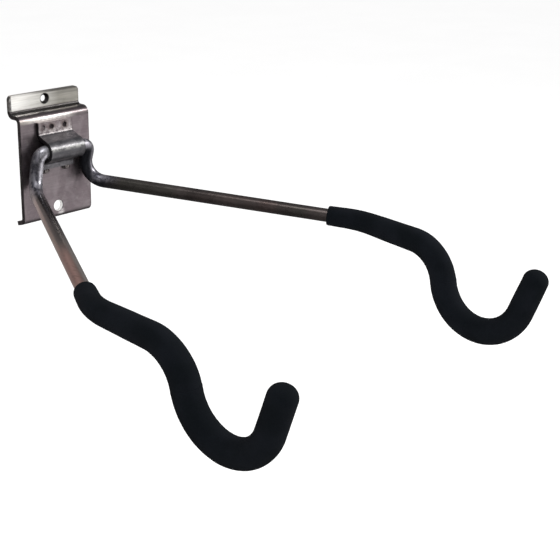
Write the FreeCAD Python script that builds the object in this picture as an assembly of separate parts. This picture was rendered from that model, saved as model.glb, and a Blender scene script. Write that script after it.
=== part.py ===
"""Folding wall rack that hangs bicycles by their frames from a slotted wall panel.

A bent sheet plate hooks over one lip of the panel. A strap welded to its front
holds the crossbar of one bent round bar, whose two arms stick out and end in
hooks sleeved in foam. The arms swing up about the crossbar.

Frame: origin at the centre of the plate's back face, which lies on the wall.
+X is to the right for a person who faces the wall, +Y goes into the wall and
+Z is up. Heights are given from the plate's bottom edge and reaches from the
plate's front face. All sizes are in millimetres.
"""
import FreeCAD, Part
import math
import os
from FreeCAD import Vector

# Back plate: one strip of sheet steel with three bends.
SHEET = 3.0
PLATE_WIDTH = 61.0
PLATE_HEIGHT = 78.0
SLAT_LIP_GAP = 7.8
TAB_RISE = 13.0
FOOT_REACH = 6.5
FOOT_DROP = 2.2
BEND_RADIUS = 2.2
TAB_CORNER = 3.0
PLATE_CORNER = 1.5

# Screw holes of the plate.
TAB_HOLE_RADIUS = 2.4
TAB_SINK_RADIUS = 4.1
TAB_SINK_DEPTH = 1.7
TAB_HOLE_HEIGHT = 85.5
LOW_HOLE_RADIUS = 3.75
LOW_HOLE_HEIGHT = 8.6
LOW_HOLE_BREAK = 0.6
DRILL_LENGTH = SHEET * 3

# Hinge strap: a narrower strip with a round saddle pressed into it, welded a little to one side.
STRAP_SHEET = 2.5
STRAP_WIDTH = 30.0
STRAP_SIDE = -1.7
STRAP_TOP = 72.0
STRAP_BOTTOM = 38.0
STRAP_SHOULDER = 2.5
STRAP_FLARE = math.radians(20)
STRAP_EDGE_BREAK = 1.0
WELD_PIT_RADIUS = 1.7
WELD_PIT_FLOOR_RADIUS = 0.85
WELD_PIT_DEPTH = 0.7
WELD_PIT_HEIGHT = 68.3
WELD_PIT_PLACES = (-12.3, -5.0, 6.5)

# The bar: 3/8 inch round steel. Its crossbar is the hinge pin.
BAR_RADIUS = 9.525 / 2
HINGE_GAP = 0.3
HINGE_HEIGHT = 52.5
HINGE_REACH = 9.2
ELBOW_X = 22.4
ELBOW_RADIUS = 6.0
LEG_RADIUS = 14.0

# Corners of the right arm before rounding: side offset, reach, height.
LEG_CORNER = (21.9, 0.55, 25.4)
PLAN_CORNER = (121.3, 183.6, 11.3)
DIP_CORNER = (120.5, 254.9, 6.5)
VALLEY_CORNER = (115.4, 272.1, -146.9)
SLEEVE_TIP = (120.4, 328.8, 9.2)
PLAN_RADIUS = 42.0
DIP_RADIUS = 29.0
VALLEY_RADIUS = 31.5
ARM_RADII = (ELBOW_RADIUS, LEG_RADIUS, PLAN_RADIUS, DIP_RADIUS, VALLEY_RADIUS)

# Foam sleeve: thin at its open end, thicker past the plan bend, closed at the tip.
SLEEVE_START = 223.9
SLEEVE_THIN_RADIUS = 7.0
SLEEVE_MIDDLE_RADIUS = 8.0
SLEEVE_THICK_RADIUS = 9.0
SLEEVE_TIP_RADIUS = 8.5
SLEEVE_MIDDLE_AT = 47.2
SLEEVE_THICK_AT = 109.2
SLEEVE_SLIM_FROM = 173.2
SLEEVE_END_WALL = 6.0
SLEEVE_BORE_GAP = 0.2
SLEEVE_DOME_DEPTH = SLEEVE_TIP_RADIUS * 0.85
BORE_OVERRUN = 5.0

PLATE_FRONT_Y = -SHEET
PLATE_BOTTOM_Z = -PLATE_HEIGHT / 2
UP = Vector(0, 0, 1)
SIDEWAYS = Vector(1, 0, 0)
INTO_WALL = Vector(0, 1, 0)
SAME_POINT = 1e-4
SAME_LENGTH = 0.05
SAME_DIRECTION = 0.99


def spot(side, reach, height):
    """Turn a side offset, a reach and a height into a point of the frame."""
    return Vector(side, PLATE_FRONT_Y - reach, PLATE_BOTTOM_Z + height)


def arc_between(start, corner, end, radius):
    """The arc of that radius that rounds the corner, with its two ends."""
    to_start = (start - corner).normalize()
    to_end = (end - corner).normalize()
    half = to_start.getAngle(to_end) / 2
    setback = radius / math.tan(half)
    first = corner + to_start * setback
    last = corner + to_end * setback
    inward = (to_start + to_end).normalize()
    middle = corner + inward * (radius / math.sin(half) - radius)
    return first, middle, last


def rounded_path(corners, radii):
    """Straight runs through the corners, each inner corner rounded by its arc."""
    edges = []
    here = corners[0]
    for index, radius in enumerate(radii, start=1):
        first, middle, last = arc_between(corners[index - 1], corners[index], corners[index + 1], radius)
        if here.distanceToPoint(first) > SAME_POINT:
            edges.append(Part.LineSegment(here, first).toShape())
        edges.append(Part.Arc(first, middle, last).toShape())
        here = last
    edges.append(Part.LineSegment(here, corners[-1]).toShape())
    return Part.Wire(edges)


def tube(path, stations):
    """Sweep circles along the path: stations are (distance, radius) pairs."""
    circles = []
    for distance, radius in stations:
        place, direction = point_along(path, distance)
        circles.append(Part.Wire(Part.makeCircle(radius, place, direction)))
    return path.makePipeShell(circles, True, False)


def point_along(path, distance):
    """The point and the direction of the path at that distance from its start."""
    travelled = 0.0
    for edge in path.Edges:
        if distance <= travelled + edge.Length + 1e-6:
            parameter = edge.getParameterByLength(min(distance - travelled, edge.Length))
            return edge.valueAt(parameter), edge.tangentAt(parameter)
        travelled += edge.Length
    last = path.Edges[-1]
    return last.valueAt(last.LastParameter), last.tangentAt(last.LastParameter)


def path_from(path, distance):
    """The part of the path that lies past that distance."""
    edges = []
    travelled = 0.0
    for edge in path.Edges:
        if distance < travelled + edge.Length - 1e-6:
            begin = edge.FirstParameter
            if distance > travelled:
                begin = edge.getParameterByLength(distance - travelled)
            edges.append(edge.Curve.toShape(begin, edge.LastParameter))
        travelled += edge.Length
    return Part.Wire(edges)


def beside(corners, shift):
    """Shift an open line in the YZ plane to its left, corner by corner."""
    normals = []
    for start, end in zip(corners, corners[1:]):
        along = (end - start).normalize()
        normals.append(SIDEWAYS.cross(along))
    shifted = [corners[0] + normals[0] * shift]
    for corner, before, after in zip(corners[1:], normals, normals[1:]):
        shifted.append(corner + (before + after) * (shift / (1 + before.dot(after))))
    shifted.append(corners[-1] + normals[-1] * shift)
    return shifted


def turns(corners):
    """+1 for each inner corner that turns left and -1 for each that turns right."""
    signs = []
    for before, corner, after in zip(corners, corners[1:], corners[2:]):
        signs.append(math.copysign(1, (corner - before).cross(after - corner).x))
    return signs


def strip(centre_line, radii, sheet, width):
    """A flat strip of sheet bent along an open line in the YZ plane."""
    half = sheet / 2
    sides = []
    for side in (half, -half):
        side_radii = [radius - sign * side for radius, sign in zip(radii, turns(centre_line))]
        sides.append(rounded_path(beside(centre_line, side), side_radii))
    left, right = sides
    first_cap = Part.LineSegment(left.Edges[0].firstVertex().Point, right.Edges[0].firstVertex().Point)
    last_cap = Part.LineSegment(left.Edges[-1].lastVertex().Point, right.Edges[-1].lastVertex().Point)
    caps = [first_cap.toShape(), last_cap.toShape()]
    outline = Part.sortEdges(left.Edges + right.Edges + caps)[0]
    face = Part.Face(Part.Wire(outline))
    face.translate(Vector(-width / 2, 0, 0))
    return face.extrude(Vector(width, 0, 0))


def round_corners(solid, radius, wanted):
    """Fillet the edges that wanted() picks."""
    edges = [edge for edge in solid.Edges if wanted(edge)]
    return solid.makeFillet(radius, edges)


def runs_through_sheet(edge, direction, sheet):
    """Whether an edge is straight, crosses the sheet and lies along that direction."""
    if not isinstance(edge.Curve, Part.Line) or abs(edge.Length - sheet) > SAME_LENGTH:
        return False
    along = edge.tangentAt(edge.FirstParameter)
    return abs(along.dot(direction)) > SAME_DIRECTION


def make_back_plate():
    """Foot, plate, shelf and tab bent from one strip, with its two screw holes."""
    half = SHEET / 2
    middle_y = -half
    tab_y = SLAT_LIP_GAP + half
    foot_z = PLATE_BOTTOM_Z + half
    shelf_z = PLATE_BOTTOM_Z + PLATE_HEIGHT - half
    tab_top_z = PLATE_BOTTOM_Z + PLATE_HEIGHT + TAB_RISE
    foot_up = Vector(0, FOOT_DROP, FOOT_REACH - middle_y).normalize()
    line = [
        Vector(0, FOOT_REACH, foot_z - FOOT_DROP),
        Vector(0, middle_y, foot_z),
        Vector(0, middle_y, shelf_z),
        Vector(0, tab_y, shelf_z),
        Vector(0, tab_y, tab_top_z),
    ]
    plate = strip(line, [BEND_RADIUS + half] * 3, SHEET, PLATE_WIDTH)
    plate = round_corners(plate, TAB_CORNER, lambda edge: (
        runs_through_sheet(edge, INTO_WALL, SHEET) and edge.CenterOfMass.z > tab_top_z - SHEET))
    plate = round_corners(plate, PLATE_CORNER, lambda edge: (
        runs_through_sheet(edge, foot_up, SHEET) and edge.CenterOfMass.z < foot_z))

    tab_front = Vector(0, SLAT_LIP_GAP, PLATE_BOTTOM_Z + TAB_HOLE_HEIGHT)
    tab_hole = Part.makeCylinder(TAB_HOLE_RADIUS, DRILL_LENGTH, tab_front - INTO_WALL * SHEET, INTO_WALL)
    sink = Part.makeCone(TAB_SINK_RADIUS, TAB_HOLE_RADIUS, TAB_SINK_DEPTH, tab_front, INTO_WALL)
    low_front = Vector(0, PLATE_FRONT_Y, PLATE_BOTTOM_Z + LOW_HOLE_HEIGHT)
    low_hole = Part.makeCylinder(LOW_HOLE_RADIUS, DRILL_LENGTH, low_front - INTO_WALL * SHEET, INTO_WALL)
    low_break = Part.makeCone(LOW_HOLE_RADIUS + LOW_HOLE_BREAK, LOW_HOLE_RADIUS, LOW_HOLE_BREAK,
                              low_front, INTO_WALL)
    for cutter in (tab_hole, sink, low_hole, low_break):
        plate = plate.cut(cutter)
    return plate


def make_hinge_strap():
    """Two flanges on the plate and a half-round saddle over the crossbar."""
    half = STRAP_SHEET / 2
    flange_y = PLATE_FRONT_Y - half
    axis_y = PLATE_FRONT_Y - HINGE_REACH
    axis_z = PLATE_BOTTOM_Z + HINGE_HEIGHT
    saddle = BAR_RADIUS + HINGE_GAP + half
    front_y = axis_y - saddle
    front_rise = saddle / math.tan((math.pi / 2 + STRAP_FLARE) / 2)
    flange_rise = front_rise + (flange_y - front_y) * math.tan(STRAP_FLARE)
    line = [
        Vector(0, flange_y, PLATE_BOTTOM_Z + STRAP_TOP),
        Vector(0, flange_y, axis_z + flange_rise),
        Vector(0, front_y, axis_z + front_rise),
        Vector(0, front_y, axis_z - front_rise),
        Vector(0, flange_y, axis_z - flange_rise),
        Vector(0, flange_y, PLATE_BOTTOM_Z + STRAP_BOTTOM),
    ]
    shoulder = STRAP_SHOULDER + half
    strap = strip(line, [shoulder, saddle, saddle, shoulder], STRAP_SHEET, STRAP_WIDTH)
    strap = round_corners(strap, STRAP_EDGE_BREAK, lambda edge: (
        runs_through_sheet(edge, INTO_WALL, STRAP_SHEET)))
    flange_front = PLATE_FRONT_Y - STRAP_SHEET
    strap.translate(SIDEWAYS * STRAP_SIDE)
    for side in WELD_PIT_PLACES:
        mouth = Vector(side, flange_front, PLATE_BOTTOM_Z + WELD_PIT_HEIGHT)
        pit = Part.makeCone(WELD_PIT_RADIUS, WELD_PIT_FLOOR_RADIUS, WELD_PIT_DEPTH, mouth, INTO_WALL)
        strap = strap.cut(pit)
    return strap


def arm_corners():
    """Corners of the right arm from the middle of the crossbar to the sleeve's tip."""
    corners = [
        spot(0, HINGE_REACH, HINGE_HEIGHT),
        spot(ELBOW_X, HINGE_REACH, HINGE_HEIGHT),
        spot(*LEG_CORNER),
        spot(*PLAN_CORNER),
        spot(*DIP_CORNER),
        spot(*VALLEY_CORNER),
        spot(*SLEEVE_TIP),
    ]
    return corners



def shortened(corners, amount):
    """The same corners with the last run cut back by that amount."""
    back = (corners[-2] - corners[-1]).normalize()
    return corners[:-1] + [corners[-1] + back * amount]


def mirrored(shape):
    """The same shape on the other side of the middle plane."""
    return shape.mirror(Vector(0, 0, 0), SIDEWAYS)


def make_arm_bar():
    """Crossbar, two legs and two hooked arms bent from one round bar."""
    path = rounded_path(shortened(arm_corners(), SLEEVE_END_WALL), ARM_RADII)
    right = tube(path, [(0, BAR_RADIUS)])
    return right.fuse(mirrored(right)).removeSplitter()


def make_right_sleeve():
    """Foam tube over the hook, closed and domed at the tip."""
    whole = rounded_path(arm_corners(), ARM_RADII)
    skin_corners = shortened(arm_corners(), SLEEVE_DOME_DEPTH)
    skin_path = path_from(rounded_path(skin_corners, ARM_RADII), SLEEVE_START)
    body = tube(skin_path, [
        (0, SLEEVE_THIN_RADIUS),
        (SLEEVE_MIDDLE_AT, SLEEVE_MIDDLE_RADIUS),
        (SLEEVE_THICK_AT, SLEEVE_THICK_RADIUS),
        (SLEEVE_SLIM_FROM, SLEEVE_THICK_RADIUS),
        (skin_path.Length, SLEEVE_TIP_RADIUS),
    ])
    tip, outward = point_along(whole, whole.Length)
    base = tip - outward * SLEEVE_DOME_DEPTH
    body = body.fuse(dome(base, outward))
    bore_corners = shortened(arm_corners(), SLEEVE_END_WALL)
    bore_path = path_from(rounded_path(bore_corners, ARM_RADII), SLEEVE_START - BORE_OVERRUN)
    bore = tube(bore_path, [(0, BAR_RADIUS + SLEEVE_BORE_GAP)])
    return body.cut(bore)


def dome(base, outward):
    """A half ellipsoid that closes the sleeve."""
    ball = Part.makeSphere(SLEEVE_TIP_RADIUS)
    stretch = FreeCAD.Matrix()
    stretch.scale(1, 1, SLEEVE_DOME_DEPTH / SLEEVE_TIP_RADIUS)
    cap = ball.transformGeometry(stretch)
    keep = Part.makeCylinder(SLEEVE_TIP_RADIUS * 2, SLEEVE_DOME_DEPTH * 2)
    cap = cap.common(keep)
    cap.Placement = FreeCAD.Placement(base, FreeCAD.Rotation(UP, outward))
    return cap


def save(name, shape):
    """Check a node's solid and write it."""
    print(name, shape.ShapeType, "solids", len(shape.Solids), "valid", shape.isValid(),
          "volume", round(shape.Volume, 1))
    shape.exportStep(os.path.join("parts", name + ".step"))


def main():
    os.makedirs("parts", exist_ok=True)
    right_sleeve = make_right_sleeve()
    save("back_plate", make_back_plate())
    save("hinge_strap", make_hinge_strap())
    save("arm_bar", make_arm_bar())
    save("foam_sleeve_right", right_sleeve)
    save("foam_sleeve_left", mirrored(right_sleeve))


main()
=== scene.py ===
"""Looks for the folding bicycle wall rack: materials, foam sleeves, welds, light and camera.

Lengths are in metres unless a comment says millimetres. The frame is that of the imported
model: X to the right for a person who faces the wall, Y into the wall and Z up, with the
origin at the centre of the plate's back face.
"""
import math

import bmesh
import bpy
import numpy as np
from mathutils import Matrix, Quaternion, Vector, noise


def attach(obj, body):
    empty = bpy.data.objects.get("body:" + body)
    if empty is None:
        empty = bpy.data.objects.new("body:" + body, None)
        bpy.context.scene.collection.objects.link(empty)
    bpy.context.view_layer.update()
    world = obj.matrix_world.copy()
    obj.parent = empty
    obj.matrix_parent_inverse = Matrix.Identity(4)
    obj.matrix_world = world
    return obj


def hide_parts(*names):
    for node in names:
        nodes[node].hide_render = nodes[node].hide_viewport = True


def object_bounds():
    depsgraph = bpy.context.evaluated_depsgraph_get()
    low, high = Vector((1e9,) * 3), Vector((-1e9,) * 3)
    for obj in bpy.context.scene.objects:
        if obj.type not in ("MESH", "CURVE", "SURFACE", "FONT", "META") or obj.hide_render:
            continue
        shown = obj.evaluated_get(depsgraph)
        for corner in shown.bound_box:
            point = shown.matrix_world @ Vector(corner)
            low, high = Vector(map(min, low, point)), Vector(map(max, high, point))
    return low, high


MM = 0.001

# Where the plate's front face and bottom edge lie in the frame.
PLATE_FRONT_Y = -3.0 * MM
PLATE_BOTTOM_Z = -39.0 * MM
BAR_RADIUS = 9.525 / 2 * MM

# Corners of the right arm and hook before rounding, as side offset, reach from the plate's
# front face and height over its bottom edge, all in millimetres.
LEG_CORNER = (21.9, 0.55, 25.4)
PLAN_CORNER = (121.3, 183.6, 11.3)
DIP_CORNER = (120.5, 254.9, 6.5)
VALLEY_CORNER = (115.4, 272.1, -146.9)
SLEEVE_TIP = (120.4, 328.8, 9.2)
HOOK_CORNERS = (LEG_CORNER, PLAN_CORNER, DIP_CORNER, VALLEY_CORNER, SLEEVE_TIP)
HOOK_RADII = (42.0 * MM, 29.0 * MM, 31.5 * MM)
ARC_STEP = math.radians(1.5)
DIRECTION_PROBE = 0.6 * MM
BEND_PROBE = 2.0 * MM

# The foam sleeve starts this far along the route from the leg corner. Its profile gives the
# radius at some distances from the open end, both in millimetres.
SLEEVE_START = 185.44 * MM
SLEEVE_PROFILE = ((0.0, 6.95), (47.2, 7.95), (109.2, 8.9), (173.2, 8.9), (223.2, 8.4))
SLEEVE_END_WALL = 6.0 * MM
SLEEVE_DOME_SHARE = 0.85
BORE_RADIUS = BAR_RADIUS + 0.2 * MM
MOUTH_ROUNDING = 0.9 * MM
MOUTH_STEPS = 13
DOME_STEPS = 14
RING_STEP = 0.8 * MM
BORE_RING_STEP = 2.5 * MM
RING_SIDES = 72

# How uneven the foam is: lumps all over, and folds where a bend squeezes it.
WIDE_LUMP = 0.10 * MM
WIDE_LUMP_SCALE = 70.0
SMALL_LUMP = 0.05 * MM
SMALL_LUMP_SCALE = 260.0
FOLD_DEPTH = 0.16 * MM
FOLD_SPACING = 0.75 * MM
FOLD_WANDER = 1.4
FOLD_WANDER_SCALE = 90.0
EVEN_NEAR_MOUTH = 6.0 * MM
EVEN_NEAR_TIP = 8.0 * MM

# Features of the plate and strap. Side offsets, reaches and heights are in millimetres, as
# above, except where MM turns them into metres.
TAB_HOLE = (0.0, -12.3, 85.5)
LOW_HOLE = (0.0, -1.5, 8.6)
LOW_HOLE_PALE_PATCH = (2.5, 0.0, 3.4)
STRAP_SIDE = -1.7 * MM
STRAP_FLANGE_REACH = 2.5
WELD_PIT_HEIGHT = 68.3
# Side offset of each weld pit in millimetres, and how dark it is.
WELD_PITS = ((-12.3, 0.30), (-5.0, 0.95), (6.5, 0.95))
TACKS = ((-11.3, 1.0, 36.6), (7.2, 0.9, 36.9))
TACK_HALF_WIDTH = 3.1 * MM
TACK_HALF_DEPTH = 2.2 * MM
TACK_HALF_HEIGHT = 1.9 * MM
TACK_FLAT_BACK = 0.25
BEAD_RIPPLE = 0.10
BEAD_RIPPLE_RATE = 9.0
BEAD_LUMP = 0.12
BEAD_LUMP_SCALE = 2.3
BEAD_LUMP_SHIFT = 900

# The camera stands in front of the rack, to its left and a little above it.
CAMERA_AIM = Vector((56.2, -170.0, -60.0)) * MM
CAMERA_AZIMUTH = math.radians(-48.52)
CAMERA_ELEVATION = math.radians(19.72)
CAMERA_DISTANCE = 838.1 * MM
CAMERA_ROLL = math.radians(1.21)
CAMERA_LENS = 78.8
SENSOR_WIDTH = 36.0

FLOOR_DROP = 320 * MM
FLOOR_SIZE = 14.0

# Soft patches of light that only reflections see: direction, angle of the full patch, angle
# where it ends (both in degrees) and colour.
PANELS = (
    ((0.70, -0.62, -0.33), 10, 42, (1.25, 1.22, 1.24)),
    ((0.70, -0.53, 0.47), 12, 32, (0.9, 0.9, 0.9)),
    ((0.0, 0.95, 0.10), 15, 50, (0.50, 0.42, 0.39)),
    ((0.0, 0.0, 1.0), 10, 55, (0.20, 0.21, 0.23)),
    ((-0.75, -0.60, 0.25), 10, 50, (0.30, 0.30, 0.31)),
)
DIM_ROOM = (0.13, 0.13, 0.135)

# Square lamps: name, place, side length, power in watts and colour.
LIGHT_AIM = (0.0, -0.12, 0.0)
LAMPS = (
    ("key", (1.05, -0.92, 0.72), 0.35, 12.0, (1.0, 0.99, 0.97)),
    ("top", (-0.4, -0.5, 1.7), 0.8, 6.0, (1.0, 1.0, 1.0)),
)

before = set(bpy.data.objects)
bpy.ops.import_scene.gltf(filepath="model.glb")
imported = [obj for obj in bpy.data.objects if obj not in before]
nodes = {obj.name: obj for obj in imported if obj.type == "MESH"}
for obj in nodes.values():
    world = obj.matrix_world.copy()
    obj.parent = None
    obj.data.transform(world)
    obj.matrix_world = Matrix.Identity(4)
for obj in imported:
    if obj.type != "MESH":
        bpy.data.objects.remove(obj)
cad_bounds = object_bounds()


def spot(side, reach, height):
    """A point of the frame from its side offset, reach and height in millimetres."""
    return Vector((side * MM, PLATE_FRONT_Y - reach * MM, PLATE_BOTTOM_Z + height * MM))


# ---------------------------------------------------------------- materials

class Nodes:
    """A short way to write a material's node tree."""

    def __init__(self, name):
        self.material = bpy.data.materials.new(name)
        self.material.use_nodes = True
        self.tree = self.material.node_tree
        self.shader = self.tree.nodes["Principled BSDF"]
        coordinates = self.tree.nodes.new("ShaderNodeTexCoord")
        self.place = coordinates.outputs["Object"]

    def link(self, source, target):
        if hasattr(source, "is_output"):
            self.tree.links.new(source, target)
        else:
            target.default_value = source

    def set(self, **values):
        """Constant values on the shader's own sockets."""
        for name, value in values.items():
            self.shader.inputs[name.replace("_", " ").title().replace("Ior", "IOR")].default_value = value

    def stretched(self, scale):
        """The place, stretched by a factor along each axis."""
        mapping = self.tree.nodes.new("ShaderNodeMapping")
        mapping.inputs["Scale"].default_value = scale
        self.link(self.place, mapping.inputs["Vector"])
        return mapping.outputs["Vector"]

    def noise(self, scale, detail=3.0, roughness=0.55, stretch=(1, 1, 1), distortion=0.0):
        texture = self.tree.nodes.new("ShaderNodeTexNoise")
        texture.inputs["Scale"].default_value = scale
        texture.inputs["Detail"].default_value = detail
        texture.inputs["Roughness"].default_value = roughness
        texture.inputs["Distortion"].default_value = distortion
        self.link(self.stretched(stretch), texture.inputs["Vector"])
        return texture.outputs["Fac"]

    def cells(self, scale):
        texture = self.tree.nodes.new("ShaderNodeTexVoronoi")
        texture.inputs["Scale"].default_value = scale
        self.link(self.place, texture.inputs["Vector"])
        return texture.outputs["Distance"]

    def remap(self, value, low, high, to_low=0.0, to_high=1.0, smooth=True):
        node = self.tree.nodes.new("ShaderNodeMapRange")
        node.interpolation_type = "SMOOTHSTEP" if smooth else "LINEAR"
        self.link(value, node.inputs["Value"])
        limits = {"From Min": low, "From Max": high, "To Min": to_low, "To Max": to_high}
        for name, number in limits.items():
            node.inputs[name].default_value = number
        return node.outputs["Result"]

    def math(self, operation, first, second=0.0):
        node = self.tree.nodes.new("ShaderNodeMath")
        node.operation = operation
        self.link(first, node.inputs[0])
        self.link(second, node.inputs[1])
        return node.outputs["Value"]

    def mix(self, factor, first, second):
        node = self.tree.nodes.new("ShaderNodeMix")
        node.data_type = "RGBA"
        self.link(factor, node.inputs["Factor"])
        self.link(first, node.inputs["A"])
        self.link(second, node.inputs["B"])
        return node.outputs["Result"]

    def axis(self, name):
        node = self.tree.nodes.new("ShaderNodeSeparateXYZ")
        self.link(self.place, node.inputs["Vector"])
        return node.outputs[name]

    def near(self, point, inner, outer, wobble=0.0):
        """1 within the inner distance of the point, 0 past the outer one, with an uneven edge."""
        node = self.tree.nodes.new("ShaderNodeVectorMath")
        node.operation = "DISTANCE"
        self.link(self.place, node.inputs[0])
        node.inputs[1].default_value = point
        distance = self.math("ADD", node.outputs["Value"], wobble)
        return self.remap(distance, inner, outer, 1.0, 0.0)

    def band(self, value, middle, inner, outer):
        """1 within the inner distance of the middle value, 0 past the outer one."""
        distance = self.math("ABSOLUTE", self.math("SUBTRACT", value, middle))
        return self.remap(distance, inner, outer, 1.0, 0.0)

    def times(self, first, second):
        """The product of two shares, or of a share and a number."""
        return self.math("MULTIPLY", first, second)

    def without(self, share):
        """What the share leaves of 1."""
        return self.math("SUBTRACT", 1.0, share)

    def along(self, origin, direction):
        """How far the place is from the origin in that direction."""
        gap = self.tree.nodes.new("ShaderNodeVectorMath")
        gap.operation = "SUBTRACT"
        self.link(self.place, gap.inputs[0])
        gap.inputs[1].default_value = origin
        dot = self.tree.nodes.new("ShaderNodeVectorMath")
        dot.operation = "DOT_PRODUCT"
        self.link(gap.outputs["Vector"], dot.inputs[0])
        dot.inputs[1].default_value = direction
        return dot.outputs["Value"]

    def bump(self, height, strength, distance, under=None):
        node = self.tree.nodes.new("ShaderNodeBump")
        node.inputs["Strength"].default_value = strength
        node.inputs["Distance"].default_value = distance
        self.link(height, node.inputs["Height"])
        if under is not None:
            self.link(under, node.inputs["Normal"])
        return node.outputs["Normal"]

    def finish(self, color, roughness, normal):
        self.link(color, self.shader.inputs["Base Color"])
        self.link(roughness, self.shader.inputs["Roughness"])
        self.link(normal, self.shader.inputs["Normal"])
        return self.material


def rgb(red, green, blue):
    return (red, green, blue, 1.0)


def plate_steel():
    """Clear-coated mill sheet: bright tab, duller purple-grey plate, rolled grain along X, with painted
    highlights and painted shade.
    """
    net = Nodes("plate_steel")
    side = net.axis("X")
    depth = net.axis("Y")
    height = net.axis("Z")
    cloud = net.noise(55.0, 4.0, 0.6, distortion=0.6)
    fine_cloud = net.noise(260.0, 3.0, 0.6)
    grain = net.noise(900.0, 4.0, 0.65, stretch=(0.05, 1.0, 1.0))
    streaks = net.noise(420.0, 3.0, 0.6, stretch=(0.05, 1.0, 1.0))

    dull = net.mix(net.remap(cloud, 0.35, 0.65), rgb(0.150, 0.122, 0.130), rgb(0.222, 0.190, 0.198))
    dull = net.mix(net.remap(fine_cloud, 0.50, 0.78, 0.0, 0.35), dull, rgb(0.34, 0.31, 0.31))

    # Painted light on the tab: lit on its left, fading to painted shade on its right, and painted shade
    # along its top cut edge.
    streak_share = net.remap(streaks, 0.3, 0.7)
    lit = net.mix(streak_share, rgb(0.93, 0.92, 0.86), rgb(1.0, 1.0, 0.95))
    unlit = net.mix(streak_share, rgb(0.20, 0.195, 0.17), rgb(0.32, 0.31, 0.27))
    tab = net.mix(net.remap(side, -24 * MM, 12 * MM, smooth=False), lit, unlit)
    top_edge_shade = net.remap(height, 50.2 * MM, 51.4 * MM)
    top_edge_shade = net.times(top_edge_shade, net.remap(side, -20 * MM, 10 * MM, 0.2, 0.85))
    tab = net.mix(top_edge_shade, tab, rgb(0.05, 0.047, 0.042))
    on_tab = net.times(net.remap(height, 40.2 * MM, 41.5 * MM), net.remap(depth, 5.5 * MM, 7.2 * MM))
    color = net.mix(on_tab, dull, tab)

    # Painted shade darkens the shelf, and a darker painted shadow lies in the crease where the tab rises
    # from it.
    shelf_shade = net.times(net.remap(height, 36.0 * MM, 37.2 * MM), net.without(on_tab))
    color = net.mix(net.times(shelf_shade, 0.9), color, rgb(0.074, 0.060, 0.063))
    crease_shade = net.band(height, 39.8 * MM, 0.9 * MM, 1.4 * MM)
    crease_shade = net.times(crease_shade, net.remap(depth, 2.6 * MM, 4.2 * MM))
    color = net.mix(net.times(crease_shade, 0.92), color, rgb(0.020, 0.018, 0.017))

    # A painted highlight along the bend between plate and shelf, brightest left of the middle and fading
    # to painted shade on the right.
    bend = net.band(height, 34.5 * MM, 0.6 * MM, 2.2 * MM)
    bend = net.times(bend, net.remap(depth, -1.0 * MM, -2.0 * MM))
    bend = net.times(bend, net.remap(fine_cloud, 0.30, 0.62, 0.45, 1.0))
    bend_highlight_tone = net.mix(net.remap(side, -30 * MM, -12 * MM), rgb(0.34, 0.31, 0.28), rgb(0.86, 0.82, 0.77))
    bend_highlight_tone = net.mix(net.remap(side, 0.0, 22 * MM), bend_highlight_tone, rgb(0.115, 0.100, 0.100))
    color = net.mix(bend, color, bend_highlight_tone)

    # A pale patch below the lower hole, broken up by the grain.
    pale_patch = net.near(spot(*LOW_HOLE_PALE_PATCH), 1.0 * MM, 4.0 * MM)
    pale_patch = net.times(pale_patch, net.remap(grain, 0.35, 0.60, 0.2, 1.0))
    color = net.mix(net.times(pale_patch, 0.8), color, rgb(0.80, 0.78, 0.76))

    # Painted shade on the cut edges and in the hole in the tab, and a bright painted wall in the drilled
    # hole below, as if lit through from behind.
    tab_edge_shade = net.times(net.remap(side, -28.6 * MM, -29.4 * MM), net.remap(depth, 1.0 * MM, 4.0 * MM))
    plate_edge_shade = net.remap(net.math("ABSOLUTE", side), 29.9 * MM, 30.4 * MM)
    edge_shade = net.math("MAXIMUM", tab_edge_shade, plate_edge_shade)
    edge_shade = net.times(edge_shade, net.remap(fine_cloud, 0.4, 0.7, 0.95, 0.6))
    color = net.mix(edge_shade, color, rgb(0.018, 0.016, 0.018))
    # Painted shade in the hole in the tab.
    color = net.mix(net.near(spot(*TAB_HOLE), 3.6 * MM, 4.5 * MM), color, rgb(0.020, 0.018, 0.018))
    color = net.mix(net.remap(grain, 0.35, 0.8, 0.0, 0.25), color, rgb(0.04, 0.035, 0.038))
    # A bright, less metallic painted wall in the drilled hole, standing in for light from behind.
    lit_hole_wall = net.near(spot(*LOW_HOLE), 3.9 * MM, 4.5 * MM)
    color = net.mix(lit_hole_wall, color, rgb(0.93, 0.92, 0.91))

    roughness = net.remap(fine_cloud, 0.3, 0.7, 0.30, 0.46)
    scratches = net.remap(net.noise(2100.0, 2.0, 0.5, stretch=(0.03, 1.0, 1.0)), 0.58, 0.72)
    relief = net.bump(grain, 0.35, 0.05 * MM)
    relief = net.bump(scratches, 0.25, 0.04 * MM, relief)
    relief = net.bump(cloud, 0.25, 0.35 * MM, relief)
    net.set(coat_weight=0.25, coat_roughness=0.18)
    net.link(net.remap(lit_hole_wall, 0.0, 1.0, 0.92, 0.15), net.shader.inputs["Metallic"])
    return net.finish(color, roughness, relief)


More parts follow.
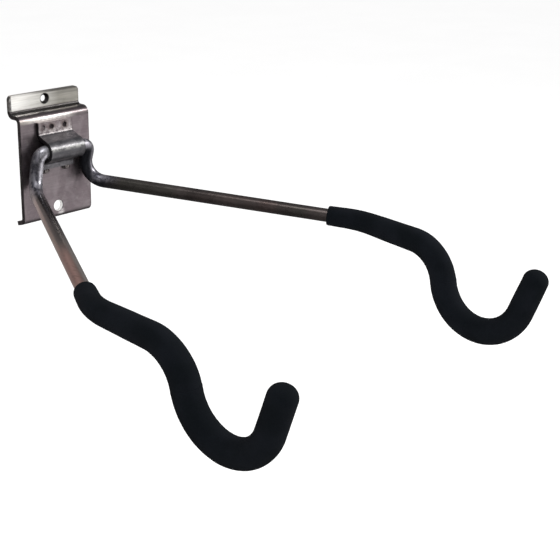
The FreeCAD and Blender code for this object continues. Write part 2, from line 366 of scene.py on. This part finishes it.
def strap_steel():
    """The same sheet, scuffed on its upper flange and heat-tinted round its spot welds, with painted
    highlights and painted shade.
    """
    net = Nodes("strap_steel")
    side = net.axis("X")
    depth = net.axis("Y")
    height = net.axis("Z")
    cloud = net.noise(90.0, 4.0, 0.6, distortion=0.8)
    mottle = net.noise(330.0, 4.0, 0.65, distortion=0.4)
    blotch = net.noise(210.0, 3.0, 0.55, distortion=1.2)
    speckle = net.noise(900.0, 3.0, 0.7)
    grain = net.noise(1100.0, 3.0, 0.6, stretch=(0.08, 1.0, 1.0))
    color = net.mix(net.remap(cloud, 0.35, 0.65), rgb(0.100, 0.098, 0.105), rgb(0.165, 0.160, 0.168))
    color = net.mix(net.remap(speckle, 0.52, 0.70, 0.0, 0.45), color, rgb(0.31, 0.31, 0.31))

    # The flat upper flange: blotched, with worn pale patches that a painted highlight makes brightest low
    # down, over a crease darkened by painted shade.
    flange = net.remap(height, 23.8 * MM, 25.6 * MM)
    dull = net.mix(net.remap(blotch, 0.38, 0.62), rgb(0.150, 0.122, 0.126), rgb(0.235, 0.203, 0.208))
    color = net.mix(flange, color, dull)
    worn = net.times(net.remap(mottle, 0.40, 0.66), net.remap(height, 31.5 * MM, 26.0 * MM, 0.12, 1.0))
    color = net.mix(net.times(flange, worn), color, rgb(0.56, 0.53, 0.52))
    crease_shade = net.band(height, 24.6 * MM, 0.3 * MM, 1.5 * MM)
    crease_shade = net.times(crease_shade, net.remap(mottle, 0.40, 0.62, 0.95, 0.15))
    color = net.mix(crease_shade, color, rgb(0.085, 0.078, 0.080))

    # The front of the saddle: a painted highlight in patches along its crown, and painted shade below
    # them.
    saddle_front = net.remap(depth, -14.5 * MM, -17.5 * MM)
    crown_highlight = net.times(net.band(height, 15.6 * MM, 0.4 * MM, 2.0 * MM), saddle_front)
    patches = net.mix(net.remap(mottle, 0.42, 0.60), rgb(0.068, 0.068, 0.070), rgb(0.215, 0.215, 0.208))
    color = net.mix(net.times(crown_highlight, 0.9), color, patches)
    under_crown_shade = net.times(net.band(height, 12.6 * MM, 0.8 * MM, 2.6 * MM), saddle_front)
    color = net.mix(net.times(under_crown_shade, 0.55), color, rgb(0.058, 0.058, 0.062))

    # Painted shade along the strap's side edges.
    from_middle = net.math("ABSOLUTE", net.math("SUBTRACT", side, STRAP_SIDE))
    edge_shade = net.remap(from_middle, 14.5 * MM, 14.9 * MM)
    color = net.mix(net.times(edge_shade, 0.9), color, rgb(0.020, 0.018, 0.020))

    # Burnt pits of the spot welds, each in a brown halo.
    wobble = net.remap(mottle, 0.3, 0.7, -0.9 * MM, 0.9 * MM, smooth=False)
    for pit_side, darkness in WELD_PITS:
        pit = spot(pit_side, STRAP_FLANGE_REACH, WELD_PIT_HEIGHT)
        halo = net.times(net.near(pit, 1.8 * MM, 4.6 * MM, wobble), 0.65 * darkness)
        color = net.mix(halo, color, rgb(0.150, 0.115, 0.100))
        core = net.times(net.near(pit, 1.4 * MM, 2.7 * MM, wobble), darkness)
        color = net.mix(core, color, rgb(0.016, 0.012, 0.014))

    roughness = net.remap(mottle, 0.3, 0.7, 0.28, 0.48)
    relief = net.bump(grain, 0.30, 0.05 * MM)
    relief = net.bump(speckle, 0.35, 0.06 * MM, relief)
    relief = net.bump(mottle, 0.30, 0.16 * MM, relief)
    net.set(metallic=0.92, coat_weight=0.12, coat_roughness=0.25)
    return net.finish(color, roughness, relief)


def bar_steel():
    """Drawn round bar: brown-grey arms with a dark stripe of painted reflection, scuffed blue-grey legs
    with painted highlight and shade.
    """
    net = Nodes("bar_steel")
    depth = net.axis("Y")
    cloud = net.noise(38.0, 3.0, 0.55, distortion=0.5)
    speckle = net.noise(520.0, 4.0, 0.7)
    scuffs = net.noise(260.0, 4.0, 0.65, stretch=(1.0, 1.0, 0.35), distortion=0.6)
    drawn = net.noise(700.0, 3.0, 0.6, stretch=(1.0, 0.06, 1.0))

    legs = net.remap(depth, -34 * MM, -18 * MM)
    color = net.mix(legs, arm_color(net, cloud), leg_color(net, speckle, scuffs))
    color = net.mix(net.remap(drawn, 0.52, 0.70, 0.0, 0.35), color, rgb(0.026, 0.022, 0.022))

    worn = net.math("SUBTRACT", net.remap(scuffs, 0.3, 0.7), net.without(legs))
    worn_roughness = net.remap(worn, 0.0, 1.0, 0.0, 0.20)
    roughness = net.math("ADD", net.remap(cloud, 0.3, 0.7, 0.24, 0.34), worn_roughness)
    relief = net.bump(drawn, 0.30, 0.05 * MM)
    relief = net.bump(speckle, 0.35, 0.07 * MM, relief)
    relief = net.bump(scuffs, 0.25, 0.25 * MM, relief)
    net.set(metallic=0.90, coat_weight=0.12, coat_roughness=0.22)
    return net.finish(color, roughness, relief)


def arm_color(net, cloud):
    """Brown-grey, with a dark stripe of painted reflection along the left arm that fades into a paler
    painted reflection at the foam, a paler painted outer face and a painted highlight along the inner
    face.
    """
    side = net.axis("X")
    depth = net.axis("Y")
    cast = net.noise(24.0, 2.0, 0.5)
    brown = net.mix(net.remap(cloud, 0.35, 0.65), rgb(0.066, 0.054, 0.050), rgb(0.118, 0.098, 0.092))
    brown = net.mix(net.remap(cast, 0.50, 0.64, 0.0, 0.45), brown, rgb(0.125, 0.078, 0.070))
    brown = net.mix(net.remap(cast, 0.46, 0.36, 0.0, 0.35), brown, rgb(0.080, 0.086, 0.070))

    # How far a place is to the right of the left arm's middle line.
    start = spot(-LEG_CORNER[0], *LEG_CORNER[1:])
    run = spot(-PLAN_CORNER[0], *PLAN_CORNER[1:]) - start
    across = net.along(start, Vector((-run.y, run.x, 0.0)).normalized())
    on_left_arm = net.remap(side, -21 * MM, -26 * MM)
    near_foam = net.remap(depth, -94 * MM, -128 * MM)

    # Painted reflection: the left arm's outer face is paler near the leg and darker further out.
    outer_face = net.remap(across, -0.70 * BAR_RADIUS, -0.85 * BAR_RADIUS)
    outer_face = net.times(on_left_arm, outer_face)
    outer_reflection_tone = net.remap(depth, -30 * MM, -80 * MM)
    outer_reflection_tone = net.mix(outer_reflection_tone, rgb(0.330, 0.262, 0.258), rgb(0.160, 0.112, 0.090))
    brown = net.mix(net.times(outer_face, 0.85), brown, outer_reflection_tone)

    # Painted reflection near the foam: paler metal, lightest towards the inner face.
    foam_end_reflection = net.remap(across, -0.88 * BAR_RADIUS, -0.40 * BAR_RADIUS)
    foam_end_reflection = net.mix(foam_end_reflection, rgb(0.180, 0.092, 0.078), rgb(0.330, 0.205, 0.180))
    brown = net.mix(net.times(net.times(on_left_arm, near_foam), 0.92), brown, foam_end_reflection)

    # Painted reflection: a dark stripe over the rest of the left arm, ending before the foam.
    stripe = net.times(net.remap(across, -0.85 * BAR_RADIUS, -0.60 * BAR_RADIUS), on_left_arm)
    stripe = net.times(stripe, net.without(near_foam))
    brown = net.mix(net.times(stripe, 0.88), brown, rgb(0.024, 0.019, 0.020))

    # Painted highlight along the left arm's inner face near the foam.
    inner_face_highlight = net.remap(across, -0.10 * BAR_RADIUS, 0.40 * BAR_RADIUS)
    inner_face_highlight = net.times(net.remap(depth, -60 * MM, -135 * MM), inner_face_highlight)
    return net.mix(net.times(inner_face_highlight, on_left_arm), brown, rgb(0.450, 0.400, 0.370))


def leg_color(net, speckle, scuffs):
    """Scuffed blue-grey, with a painted highlight on the left leg and painted shade round the right one.
    """
    side = net.axis("X")
    height = net.axis("Z")
    scuffed = net.mix(net.remap(scuffs, 0.40, 0.60), rgb(0.110, 0.107, 0.128), rgb(0.300, 0.290, 0.320))
    scuffed = net.mix(net.remap(speckle, 0.55, 0.70, 0.0, 0.6), scuffed, rgb(0.55, 0.54, 0.55))

    # Painted highlight down the right side of the left leg, weaker low down.
    pale = net.times(net.remap(side, -25.6 * MM, -22.8 * MM), net.remap(side, -8 * MM, -13 * MM))
    pale = net.times(pale, net.remap(scuffs, 0.30, 0.52, 0.30, 1.0))
    pale = net.times(pale, net.remap(height, -12 * MM, -4 * MM, 0.35, 1.0))
    scuffed = net.mix(pale, scuffed, rgb(0.58, 0.57, 0.61))

    # Painted shade on the inner side of the right leg and under its bend.
    right_leg = net.remap(side, 12 * MM, 17 * MM)
    shade = net.times(right_leg, net.remap(side, 24.5 * MM, 21.0 * MM))
    shade = net.times(shade, net.remap(height, 14.5 * MM, 10.0 * MM))
    below = net.times(right_leg, net.remap(height, -12.5 * MM, -15.5 * MM))
    shade = net.math("MAXIMUM", shade, below)
    return net.mix(net.times(shade, 0.92), scuffed, rgb(0.016, 0.018, 0.024))


def foam_black():
    """Closed-cell foam: blue-black, matte, with fine pores."""
    net = Nodes("foam_black")
    pores = net.cells(1500.0)
    fuzz = net.noise(1900.0, 3.0, 0.7)
    cloud = net.noise(45.0, 3.0, 0.5)
    clouded = net.remap(cloud, 0.35, 0.65)
    color = net.mix(clouded, rgb(0.0036, 0.0050, 0.0068), rgb(0.0056, 0.0070, 0.0098))
    color = net.mix(net.remap(pores, 0.0, 0.32, 0.6, 0.0), color, rgb(0.0013, 0.0016, 0.0022))
    color = net.mix(net.remap(fuzz, 0.58, 0.74, 0.0, 0.4), color, rgb(0.0130, 0.0150, 0.0190))
    roughness = net.remap(fuzz, 0.3, 0.7, 0.86, 0.98)
    relief = net.bump(pores, 0.45, 0.16 * MM)
    relief = net.bump(fuzz, 0.40, 0.10 * MM, relief)
    net.set(metallic=0.0, specular_ior_level=0.07)
    return net.finish(color, roughness, relief)


def weld_metal():
    """Grey, rough weld metal with burnt spots."""
    net = Nodes("weld_metal")
    burn = net.noise(420.0, 4.0, 0.65)
    color = net.mix(net.remap(burn, 0.35, 0.65), rgb(0.030, 0.024, 0.026), rgb(0.30, 0.27, 0.26))
    relief = net.bump(burn, 0.5, 0.15 * MM)
    net.set(metallic=0.85)
    return net.finish(color, net.remap(burn, 0.3, 0.7, 0.38, 0.6), relief)


# ---------------------------------------------------------------- foam sleeves

def rounded_route(corners, radii):
    """Points along straight runs whose inner corners are rounded by arcs."""
    points = [corners[0]]
    for before, corner, after, radius in zip(corners, corners[1:], corners[2:], radii):
        to_before = (before - corner).normalized()
        to_after = (after - corner).normalized()
        half = to_before.angle(to_after) / 2
        centre = corner + (to_before + to_after).normalized() * (radius / math.sin(half))
        first = corner + to_before * (radius / math.tan(half))
        axis = to_after.cross(to_before).normalized()
        turn = math.pi - 2 * half
        steps = max(2, math.ceil(turn / ARC_STEP))
        for index in range(steps + 1):
            spin = Quaternion(axis, turn * index / steps)
            points.append(centre + spin @ (first - centre))
    points.append(corners[-1])
    return np.array(points)


class Route:
    """A line of points that can be asked for its place and direction at any distance."""

    def __init__(self, points):
        self.points = points
        steps = np.linalg.norm(np.diff(points, axis=0), axis=1)
        self.distances = np.concatenate([[0.0], np.cumsum(steps)])
        self.length = self.distances[-1]

    def at(self, distance):
        return Vector([np.interp(distance, self.distances, line) for line in self.points.T])

    def direction(self, distance):
        low = max(0.0, distance - DIRECTION_PROBE)
        high = min(self.length, distance + DIRECTION_PROBE)
        return (self.at(high) - self.at(low)).normalized()


def sleeve_radius(distance):
    """The sleeve's radius at that distance from its open end."""
    places = [place * MM for place, _ in SLEEVE_PROFILE]
    radii = [radius * MM for _, radius in SLEEVE_PROFILE]
    return float(np.interp(distance, places, radii))


def foam_unevenness(point, inner_share, distance):
    """Small lumps everywhere, and soft folds where the foam is squeezed in a bend."""
    lumps = WIDE_LUMP * noise.noise(point * WIDE_LUMP_SCALE)
    lumps += SMALL_LUMP * noise.noise(point * SMALL_LUMP_SCALE)
    wander = FOLD_WANDER * noise.noise(point * FOLD_WANDER_SCALE)
    folds = FOLD_DEPTH * inner_share * math.sin(distance / FOLD_SPACING + wander)
    return lumps + folds


def hook_route(side):
    """The middle line of one arm and its hook, on the right for side 1 and the left for -1."""
    corners = [spot(*corner) for corner in HOOK_CORNERS]
    for corner in corners:
        corner.x *= side
    return Route(rounded_route(corners, HOOK_RADII))


def sleeve_rings(length):
    """Distance, radius and softness of each ring: out of the bore, over the mouth, to the tip."""
    rings = []
    for distance in np.arange(length - SLEEVE_END_WALL, MOUTH_ROUNDING, -BORE_RING_STEP):
        rings.append((distance, BORE_RADIUS, False))
    wall = sleeve_radius(0.0) - BORE_RADIUS
    middle = BORE_RADIUS + wall / 2
    half = wall / 2 - MOUTH_ROUNDING
    for angle in np.linspace(0, math.pi, MOUTH_STEPS):
        distance = MOUTH_ROUNDING * (1 - math.sin(angle))
        outward = half + MOUTH_ROUNDING * abs(math.cos(angle))
        radius = middle - outward * math.copysign(1, math.cos(angle))
        rings.append((distance, radius, False))
    dome = sleeve_radius(length) * SLEEVE_DOME_SHARE
    for distance in np.arange(MOUTH_ROUNDING + RING_STEP, length - dome, RING_STEP):
        rings.append((distance, sleeve_radius(distance), True))
    for angle in np.linspace(0, math.pi / 2, DOME_STEPS)[:-1]:
        distance = length - dome + dome * math.sin(angle)
        rings.append((distance, sleeve_radius(length) * math.cos(angle), True))
    return rings


def make_sleeve(name, side):
    """A foam tube with a cut open end, a real bore and a domed closed tip."""
    route = hook_route(side)
    length = route.length - SLEEVE_START
    rings = sleeve_rings(length)
    mesh = bmesh.new()
    normal = route.direction(SLEEVE_START).orthogonal().normalized()
    last_direction = route.direction(SLEEVE_START + rings[0][0])
    loops = []
    for distance, radius, soft in rings:
        place = route.at(SLEEVE_START + distance)
        direction = route.direction(SLEEVE_START + distance)
        normal = last_direction.rotation_difference(direction) @ normal
        normal = (normal - direction * normal.dot(direction)).normalized()
        last_direction = direction
        binormal = direction.cross(normal)
        squeeze = bend_vector(route, SLEEVE_START + distance)
        loop = []
        for step in range(RING_SIDES):
            turn = 2 * math.pi * step / RING_SIDES
            outward = normal * math.cos(turn) + binormal * math.sin(turn)
            reach = radius
            if soft:
                fade = min(1.0, distance / EVEN_NEAR_MOUTH, max(0.0, reach / EVEN_NEAR_TIP))
                inner_share = max(0.0, outward.dot(squeeze)) * sleeve_radius(distance)
                reach += fade * foam_unevenness(place + outward * reach, inner_share, distance)
            loop.append(mesh.verts.new(place + outward * reach))
        loops.append(loop)
    for first, second in zip(loops, loops[1:]):
        for step in range(RING_SIDES):
            after = (step + 1) % RING_SIDES
            mesh.faces.new((first[step], first[after], second[after], second[step]))
    close_end(mesh, loops[0], route.at(SLEEVE_START + length - SLEEVE_END_WALL))
    close_end(mesh, loops[-1], route.at(SLEEVE_START + length))
    return add_piece(name, mesh)


def bend_vector(route, distance):
    """Points to the inside of the bend, and is as long as 1 over the bend's radius."""
    before = route.direction(max(0.0, distance - BEND_PROBE))
    after = route.direction(min(route.length, distance + BEND_PROBE))
    return (after - before) / (2 * BEND_PROBE)


def close_end(mesh, loop, centre):
    """A fan over an open ring."""
    middle = mesh.verts.new(centre)
    for first, second in zip(loop, loop[1:] + loop[:1]):
        mesh.faces.new((first, second, middle))


def add_piece(name, mesh):
    """Turn a bmesh into a smooth-shaded object with outward normals."""
    bmesh.ops.recalc_face_normals(mesh, faces=mesh.faces)
    data = bpy.data.meshes.new(name)
    mesh.to_mesh(data)
    mesh.free()
    for face in data.polygons:
        face.use_smooth = True
    piece = bpy.data.objects.new(name, data)
    bpy.context.scene.collection.objects.link(piece)
    return piece


# ---------------------------------------------------------------- welds

def make_tack(name, centre):
    """A small rippled bead of weld metal, flat against the sheet behind it."""
    mesh = bmesh.new()
    bmesh.ops.create_icosphere(mesh, subdivisions=4, radius=1.0)
    for vert in mesh.verts:
        point = vert.co.copy()
        ripple = 1 + BEAD_RIPPLE * math.sin(point.x * BEAD_RIPPLE_RATE)
        ripple += BEAD_LUMP * noise.noise(point * BEAD_LUMP_SCALE + centre * BEAD_LUMP_SHIFT)
        if point.y > 0:
            point.y *= TACK_FLAT_BACK
        sized = Vector((point.x * TACK_HALF_WIDTH, point.y * TACK_HALF_DEPTH, point.z * TACK_HALF_HEIGHT))
        vert.co = centre + sized * ripple
    return add_piece(name, mesh)


# ---------------------------------------------------------------- stage

def make_camera():
    """A camera that looks at the rack from the front left."""
    data = bpy.data.cameras.new("camera")
    data.lens = CAMERA_LENS
    data.sensor_width = SENSOR_WIDTH
    camera = bpy.data.objects.new("camera", data)
    bpy.context.scene.collection.objects.link(camera)
    back = Vector((
        math.sin(CAMERA_AZIMUTH) * math.cos(CAMERA_ELEVATION),
        -math.cos(CAMERA_AZIMUTH) * math.cos(CAMERA_ELEVATION),
        math.sin(CAMERA_ELEVATION),
    ))
    camera.rotation_mode = "QUATERNION"
    camera.rotation_quaternion = (-back).to_track_quat("-Z", "Y") @ Quaternion((0, 0, 1), CAMERA_ROLL)
    camera.location = CAMERA_AIM + back * CAMERA_DISTANCE
    bpy.context.scene.camera = camera


def make_floor():
    """A wide pale floor well below the rack, which hangs from a wall."""
    lowest = cad_bounds[0].z
    mesh = bmesh.new()
    bmesh.ops.create_grid(mesh, x_segments=8, y_segments=8, size=FLOOR_SIZE)
    for vert in mesh.verts:
        vert.co.z += lowest - FLOOR_DROP
    floor = add_piece("floor", mesh)
    floor.visible_glossy = False
    net = Nodes("floor_paint")
    mottle = net.noise(6.0, 2.0, 0.5)
    color = net.mix(net.remap(mottle, 0.3, 0.7), rgb(0.975, 0.975, 0.975), rgb(0.985, 0.985, 0.985))
    net.link(color, net.shader.inputs["Base Color"])
    net.set(roughness=0.9, specular_ior_level=0.1)
    floor.data.materials.append(net.material)


def add_area_light(name, place, size, power, color):
    """A square lamp that shines on the middle of the rack."""
    data = bpy.data.lights.new(name, "AREA")
    data.shape = "RECTANGLE"
    data.size = size
    data.size_y = size
    data.energy = power
    data.color = color
    light = bpy.data.objects.new(name, data)
    light.location = place
    light.rotation_mode = "QUATERNION"
    light.rotation_quaternion = (Vector(LIGHT_AIM) - Vector(place)).to_track_quat("-Z", "Y")
    bpy.context.scene.collection.objects.link(light)


def panel(tree, direction, inner, outer, color):
    """A soft-edged patch of light in the world, seen in reflections only."""
    place = tree.nodes.new("ShaderNodeTexCoord")
    dot = tree.nodes.new("ShaderNodeVectorMath")
    dot.operation = "DOT_PRODUCT"
    tree.links.new(place.outputs["Generated"], dot.inputs[0])
    dot.inputs[1].default_value = Vector(direction).normalized()
    edge = tree.nodes.new("ShaderNodeMapRange")
    edge.interpolation_type = "SMOOTHSTEP"
    tree.links.new(dot.outputs["Value"], edge.inputs["Value"])
    edge.inputs["From Min"].default_value = math.cos(math.radians(outer))
    edge.inputs["From Max"].default_value = math.cos(math.radians(inner))
    glow = tree.nodes.new("ShaderNodeVectorMath")
    glow.operation = "SCALE"
    glow.inputs[0].default_value = color
    tree.links.new(edge.outputs["Result"], glow.inputs["Scale"])
    return glow.outputs["Vector"]


def make_light():
    """Plain white all round for the eye, and a dim studio with soft panels for the metal."""
    world = bpy.data.worlds.new("studio")
    world.use_nodes = True
    tree = world.node_tree
    white = tree.nodes["Background"]
    white.inputs["Color"].default_value = rgb(1.0, 1.0, 1.0)
    white.inputs["Strength"].default_value = 1.0
    studio = tree.nodes.new("ShaderNodeBackground")
    total = None
    for direction, inner, outer, color in PANELS:
        glow = panel(tree, direction, inner, outer, color)
        add = tree.nodes.new("ShaderNodeVectorMath")
        tree.links.new(glow, add.inputs[0])
        if total is None:
            add.inputs[1].default_value = DIM_ROOM
        else:
            tree.links.new(total, add.inputs[1])
        total = add.outputs["Vector"]
    tree.links.new(total, studio.inputs["Color"])
    path = tree.nodes.new("ShaderNodeLightPath")
    choice = tree.nodes.new("ShaderNodeMixShader")
    tree.links.new(path.outputs["Is Glossy Ray"], choice.inputs["Fac"])
    tree.links.new(white.outputs["Background"], choice.inputs[1])
    tree.links.new(studio.outputs["Background"], choice.inputs[2])
    tree.links.new(choice.outputs["Shader"], tree.nodes["World Output"].inputs["Surface"])
    bpy.context.scene.world = world
    for lamp in LAMPS:
        add_area_light(*lamp)


# ---------------------------------------------------------------- putting it together

def paint(node_name, material):
    """Give a CAD node a better material."""
    for material_slot in nodes[node_name].material_slots:
        material_slot.material = material


def main():
    make_camera()
    make_floor()
    make_light()
    bpy.context.scene.view_settings.view_transform = "Standard"

    paint("back_plate", plate_steel())
    paint("hinge_strap", strap_steel())
    paint("arm_bar", bar_steel())

    foam = foam_black()
    for side_name, side in (("right", 1), ("left", -1)):
        sleeve = make_sleeve(f"foam_grip_{side_name}", side)
        sleeve.data.materials.append(foam)
        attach(sleeve, "arms")
        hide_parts(f"foam_sleeve_{side_name}")

    weld = weld_metal()
    for index, place in enumerate(TACKS, start=1):
        tack = make_tack(f"weld_tack_{index}", spot(*place))
        tack.data.materials.append(weld)
        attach(tack, "bracket")


main()
